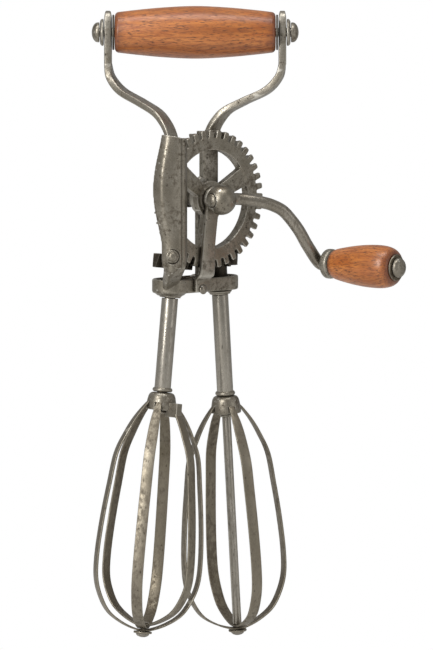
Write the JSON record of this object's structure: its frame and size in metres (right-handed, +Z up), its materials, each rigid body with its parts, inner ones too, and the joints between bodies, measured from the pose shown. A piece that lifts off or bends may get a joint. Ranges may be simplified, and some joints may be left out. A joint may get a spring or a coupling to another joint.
{
  "type": "rotary egg beater",
  "caption": "Hand cranked kitchen beater: a turned wooden grip held by flat straps over a toothed drive wheel, a bent crank rod with a wooden knob, and bowed whisks.",
  "frame": {"origin": "middle of the grip's own axis", "axes": "+X along the grip to the side of the crank knob, +Z up, -Y the side that the toothed wheel faces"},
  "size_m": [0.1561, 0.0932, 0.3186],
  "materials": {
    "grip_wood": "worn gloss varnish, darker at the ends",
    "knob_wood": "worn gloss varnish",
    "cast_frame": "worn tinned casting with brown grime",
    "cast_wheel": "worn tinned casting with brown grime",
    "shaft_steel": "tinned, stained",
    "fitting_steel": "tinned, satin",
    "blade_steel": "tinned strip, pitted and browned"
  },
  "bodies": {
    "frame": {"main_grip": "grip_wood", "grip_rod": "fitting_steel", "left_inner_washer": "fitting_steel", "right_inner_washer": "fitting_steel", "left_outer_washer": "fitting_steel", "right_outer_washer": "fitting_steel", "left_dome_nut": "fitting_steel", "right_dome_nut": "fitting_steel", "left_strap": "cast_frame", "right_strap": "cast_frame", "frame_casting": "cast_frame", "shield_screw": "fitting_steel", "front_arm": "cast_frame", "arm_screw": "fitting_steel", "upright_rivet": "fitting_steel", "axle_spool": "cast_frame", "left_bush": "cast_frame", "right_bush": "cast_frame"},
    "crank": {"drive_wheel": "cast_wheel", "axle": "fitting_steel", "crank_hub": "fitting_steel", "crank_hub_pin": "fitting_steel", "crank_rod": "fitting_steel", "knob_washer": "fitting_steel", "knob_nut": "fitting_steel"},
    "knob": {"knob_ferrule": "fitting_steel", "knob_wood": "knob_wood"},
    "left_whisk": {"left_pinion": "shaft_steel", "left_shaft": "shaft_steel", "left_thrust_washer": "shaft_steel", "left_shaft_ring": "shaft_steel", "left_cone": "shaft_steel", "left_cone_plug": "shaft_steel", "left_loop_a": "blade_steel", "left_loop_b": "blade_steel", "left_loop_c": "blade_steel", "left_loop_rivet": "fitting_steel", "left_loop_washer": "fitting_steel"},
    "right_whisk": {"right_pinion": "shaft_steel", "right_shaft": "shaft_steel", "right_thrust_washer": "shaft_steel", "right_shaft_ring": "shaft_steel", "right_cone": "shaft_steel", "right_collar": "shaft_steel", "right_centre_rod": "shaft_steel", "right_loop_a": "blade_steel", "right_loop_b": "blade_steel", "right_loop_washer": "fitting_steel"}
  },
  "joints": [
    {"name": "crank_spin", "type": "hinge", "parent": "frame", "child": "crank", "pos_m": [0, 0, -0.0826], "axis": [0.6691, -0.7431, 0], "continuous": true},
    {"name": "knob_spin", "type": "hinge", "parent": "crank", "child": "knob", "pos_m": [0.06553, 0.00538, -0.1159], "axis": [0.809, -0.5878, 0], "continuous": true},
    {"name": "left_whisk_spin", "type": "hinge", "parent": "frame", "child": "left_whisk", "pos_m": [-0.01204, -0.01084, -0.1254], "axis": [0.0815, 0.0734, 0.994], "continuous": true},
    {"name": "right_whisk_spin", "type": "hinge", "parent": "frame", "child": "right_whisk", "pos_m": [0.01204, 0.01084, -0.1254], "axis": [-0.0518, -0.0467, 0.9976], "continuous": true}
  ],
  "couplings": [
    {"joint": "left_whisk_spin", "follows": "crank_spin", "ratio": 4},
    {"joint": "right_whisk_spin", "follows": "crank_spin", "ratio": 4}
  ]
}
